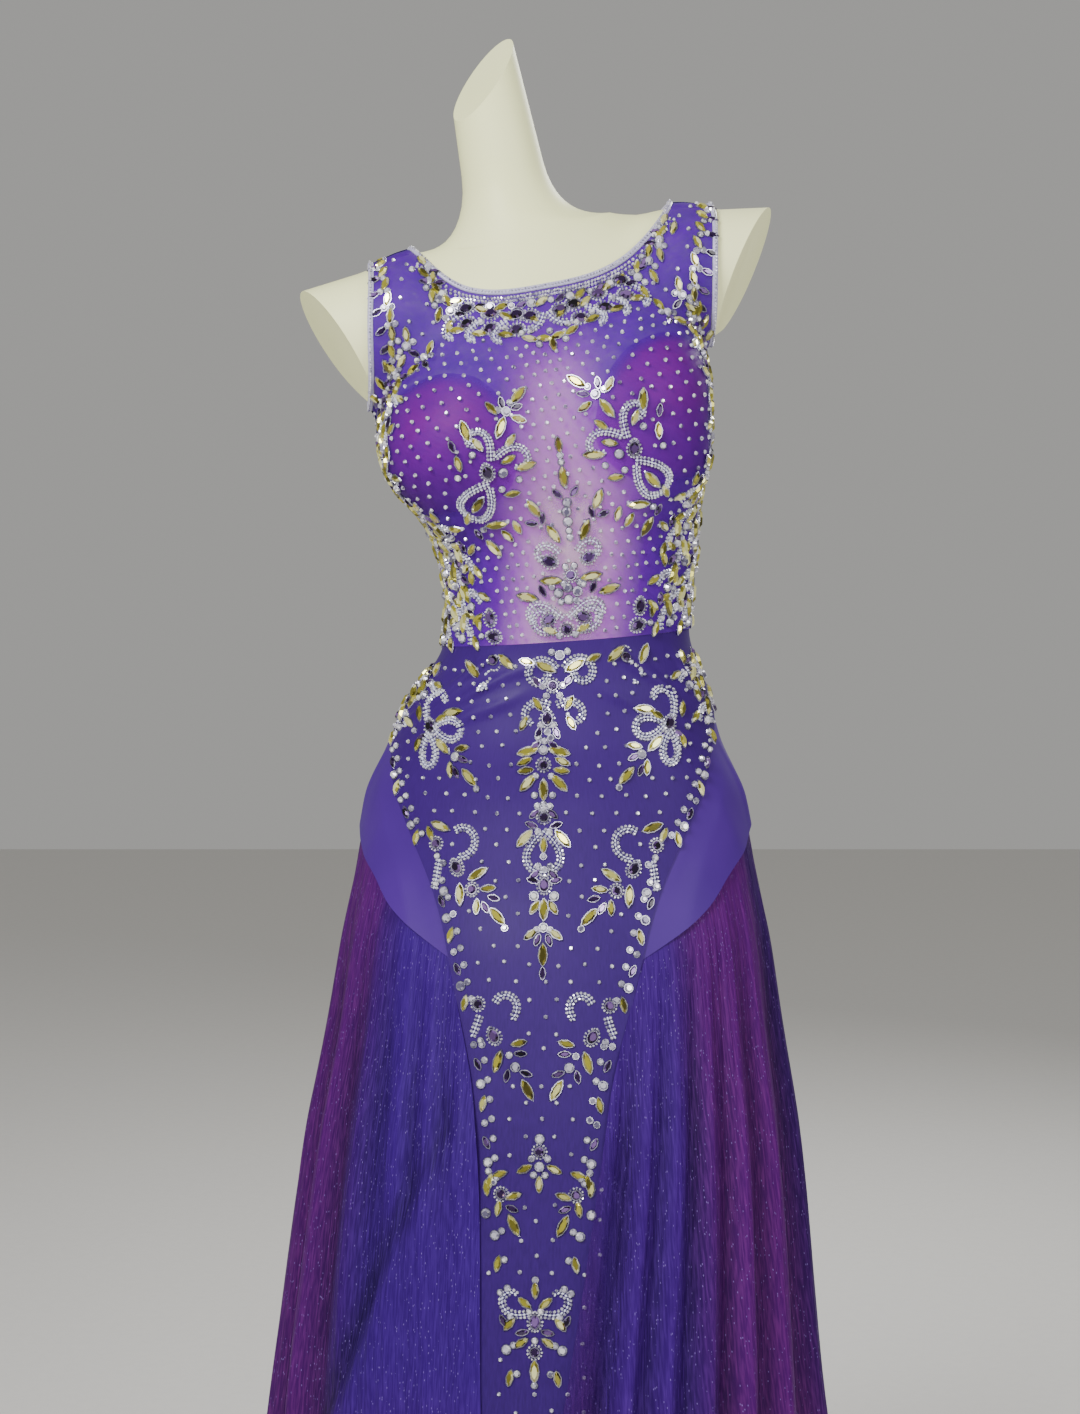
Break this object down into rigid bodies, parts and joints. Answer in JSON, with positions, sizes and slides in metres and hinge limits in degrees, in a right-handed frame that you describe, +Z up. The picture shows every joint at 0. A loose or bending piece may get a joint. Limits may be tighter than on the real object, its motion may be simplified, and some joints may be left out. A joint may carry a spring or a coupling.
{
  "type": "mermaid prom dress on a dress form",
  "caption": "Sleeveless gown with sheer beaded bodice, pointed beaded front panel, satin hip yoke and tulle skirt, worn by a limbless dress form on a pole and base plate.",
  "frame": {"origin": "centre of the base plate's underside, on the floor", "axes": "+Z up, -Y towards the gown's front, +X towards the viewer's right as seen from the front"},
  "size_m": [0.6097, 0.5811, 1.5939],
  "materials": {
    "form_shell": "smooth matt",
    "stand_metal": "satin",
    "lilac_net": "sheer net with stones",
    "plum_lining": "matt lining",
    "beaded_satin": "satin with stones",
    "violet_satin": "satin",
    "blue_tulle": "glitter tulle",
    "magenta_tulle": "glitter tulle",
    "silver_binding": "beaded binding",
    "zip_tape": "woven tape"
  },
  "bodies": {
    "root": {"form_torso": "form_shell", "form_stand": "stand_metal", "bodice_front": "lilac_net", "bodice_back_left": "beaded_satin", "bodice_back_right": "beaded_satin", "cup_left": "plum_lining", "cup_right": "plum_lining", "side_lining_left": "plum_lining", "side_lining_right": "plum_lining", "neck_binding": "silver_binding", "armhole_binding_left": "silver_binding", "armhole_binding_right": "silver_binding", "zip_back": "zip_tape", "front_panel": "beaded_satin", "hip_wing_left": "violet_satin", "hip_wing_right": "violet_satin", "basque_back_left": "violet_satin", "basque_back_right": "violet_satin", "skirt_front_left": "blue_tulle", "skirt_front_right": "blue_tulle", "skirt_side_left": "magenta_tulle", "skirt_side_right": "magenta_tulle", "skirt_back_left": "blue_tulle", "skirt_back_right": "blue_tulle"}
  },
  "joints": []
}
